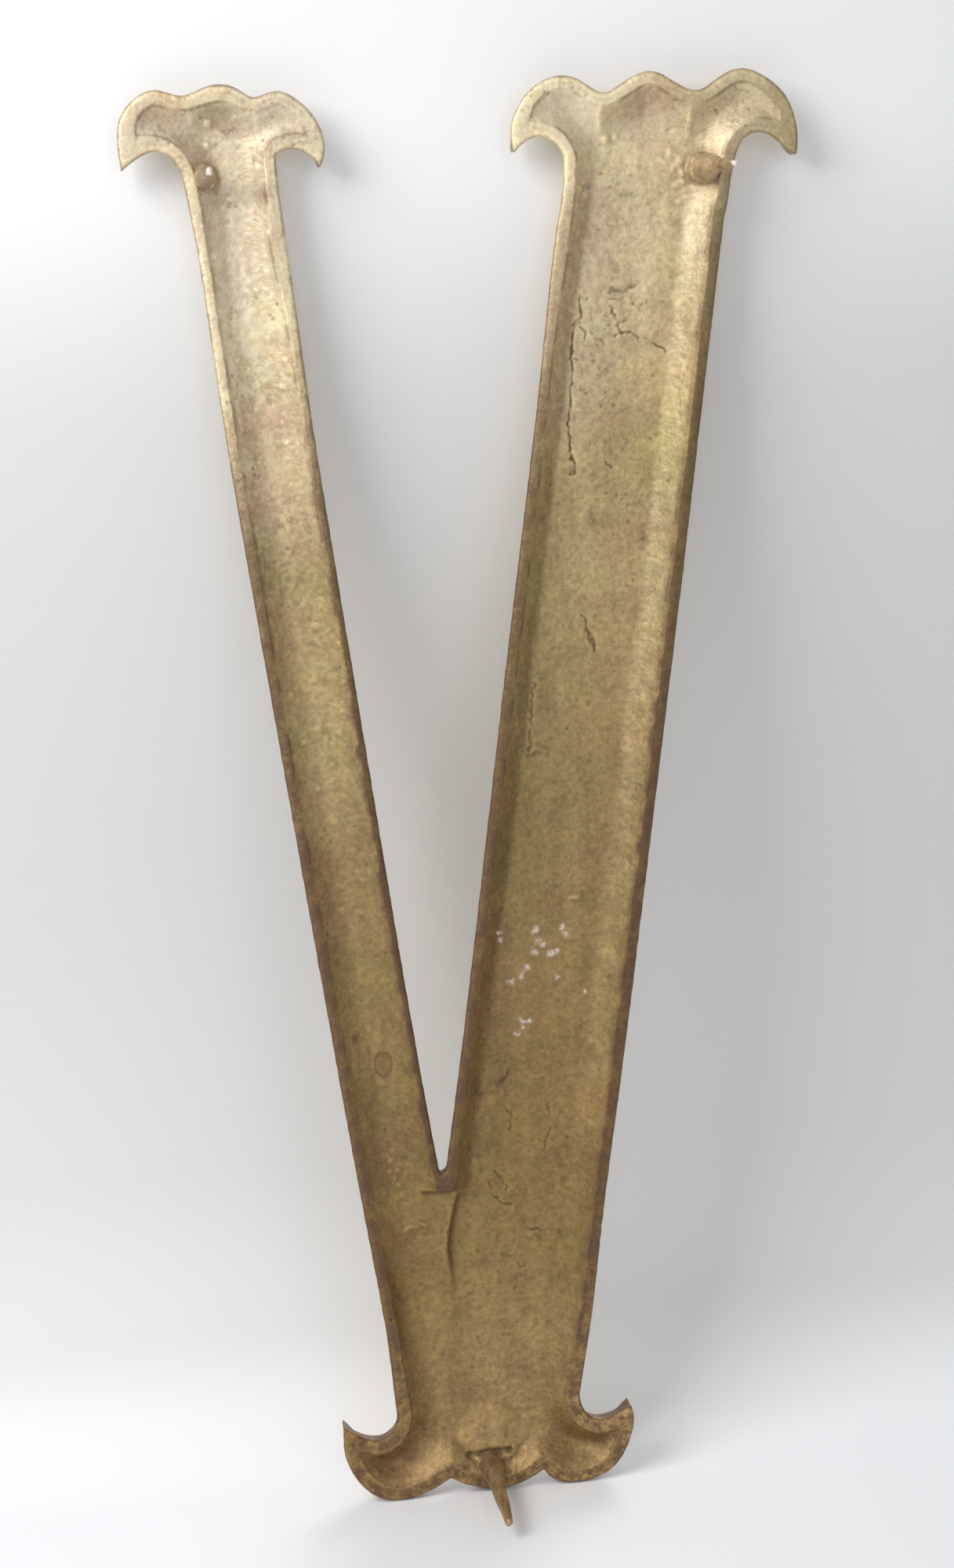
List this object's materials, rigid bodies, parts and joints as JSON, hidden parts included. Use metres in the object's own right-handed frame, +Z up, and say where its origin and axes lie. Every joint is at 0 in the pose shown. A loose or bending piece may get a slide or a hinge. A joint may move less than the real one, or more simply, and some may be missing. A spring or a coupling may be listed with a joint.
{
  "type": "cast sign letter",
  "caption": "Hollow-backed cast brass letter with a thin and a thick stroke meeting at the foot, three-lobed flared ends and tapered fixing spikes on its back.",
  "frame": {"origin": "the foot spike's axis in the plane of the flat back rim", "axes": "+Z up the letter from its foot to its two heads, +X to the right as the hollow back is seen, +Y from the back rim towards the reading face"},
  "size_m": [0.2769, 0.065, 0.6081],
  "materials": {
    "cast_brass": "aged sand-cast",
    "spike_brass": "tarnished, bright at the tip",
    "braze_bead": "rough spelter bead"
  },
  "bodies": {
    "root": {"letter_casting": "cast_brass", "spike_thin_stroke": "spike_brass", "spike_thick_stroke": "spike_brass", "spike_foot": "spike_brass", "braze_collar_thin_stroke": "braze_bead", "braze_collar_thick_stroke": "braze_bead", "braze_collar_foot": "braze_bead"}
  },
  "joints": []
}
